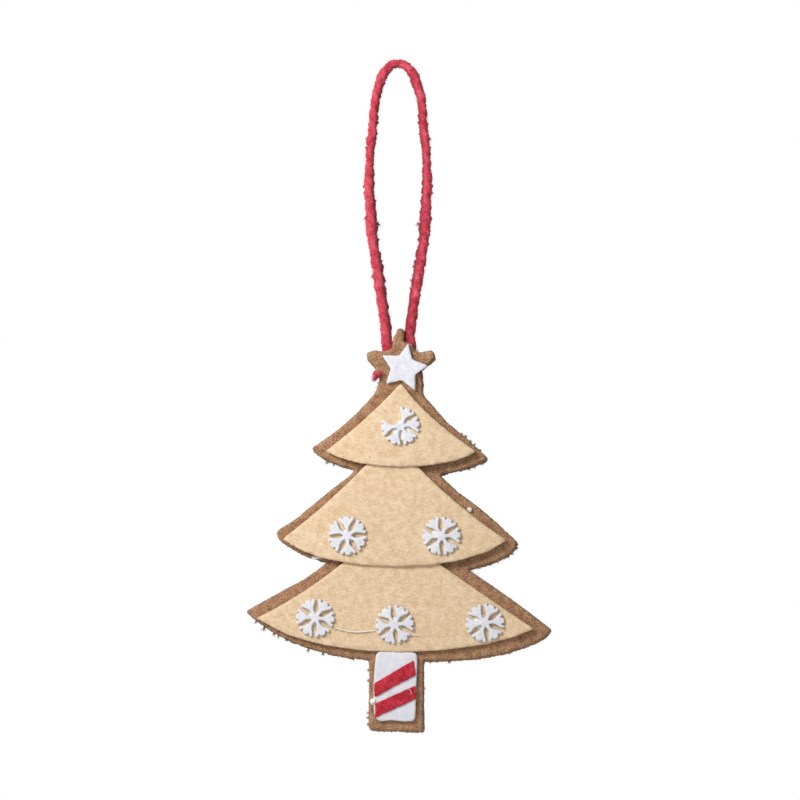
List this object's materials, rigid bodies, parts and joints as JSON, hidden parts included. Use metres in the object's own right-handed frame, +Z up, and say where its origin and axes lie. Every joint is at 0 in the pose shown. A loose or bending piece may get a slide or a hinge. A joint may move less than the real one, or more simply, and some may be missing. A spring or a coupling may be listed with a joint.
{
  "type": "christmas ornament",
  "caption": "Flat felt Christmas tree ornament: layered cream tiers, star and snowflakes glued on brown felt, on a red yarn hanging loop.",
  "frame": {"origin": "the inside top of the yarn loop, where a hook or twig carries it, in the plane between the two brown felts", "axes": "+Z up along the hanging tree, +X to the right as seen from the front, -Y out of the decorated front"},
  "size_m": [0.0841, 0.0086, 0.1855],
  "materials": {
    "brown_felt": "thick wool felt, matte, with loose fibres along its cut edges",
    "cream_felt": "pressed felt, matte, faintly mottled, crisp cut edges",
    "white_felt": "die-cut felt, matte, smooth",
    "red_felt": "felt strips, matte",
    "red_yarn": "twisted wool yarn, fuzzy, matte",
    "hot_glue": "set hot-melt glue, milky and slightly glossy"
  },
  "bodies": {
    "loop": {"hanging_loop": "red_yarn"},
    "tree": {"back_felt": "brown_felt", "cord_end_left": "red_yarn", "cord_end_right": "red_yarn", "felt_glue_bottom_left": "hot_glue", "felt_glue_bottom_right": "hot_glue", "felt_glue_head": "hot_glue", "felt_glue_middle": "hot_glue", "felt_glue_middle_left": "hot_glue", "felt_glue_neck": "hot_glue", "felt_glue_top": "hot_glue", "felt_glue_trunk": "hot_glue", "front_felt": "brown_felt", "glue_bead": "hot_glue", "glue_string": "hot_glue", "glue_under_bottom_tier": "hot_glue", "glue_under_label": "hot_glue", "glue_under_middle_tier": "hot_glue", "glue_under_snowflake_bottom_left": "hot_glue", "glue_under_snowflake_bottom_middle": "hot_glue", "glue_under_snowflake_bottom_right": "hot_glue", "glue_under_snowflake_middle_left": "hot_glue", "glue_under_snowflake_middle_right": "hot_glue", "glue_under_snowflake_top": "hot_glue", "glue_under_star": "hot_glue", "glue_under_top_tier": "hot_glue", "snowflake_bottom_left": "white_felt", "snowflake_bottom_middle": "white_felt", "snowflake_bottom_right": "white_felt", "snowflake_middle_left": "white_felt", "snowflake_middle_right": "white_felt", "snowflake_top": "white_felt", "star": "white_felt", "stripe_lower": "red_felt", "stripe_upper": "red_felt", "tier_bottom": "cream_felt", "tier_middle": "cream_felt", "tier_top": "cream_felt", "trunk_label": "white_felt"}
  },
  "joints": [
    {"name": "tree_swing", "type": "hinge", "parent": "loop", "child": "tree", "pos_m": [0, 0, -0.0732], "axis": [1, 0, 0], "range_deg": [-90, 90]}
  ]
}
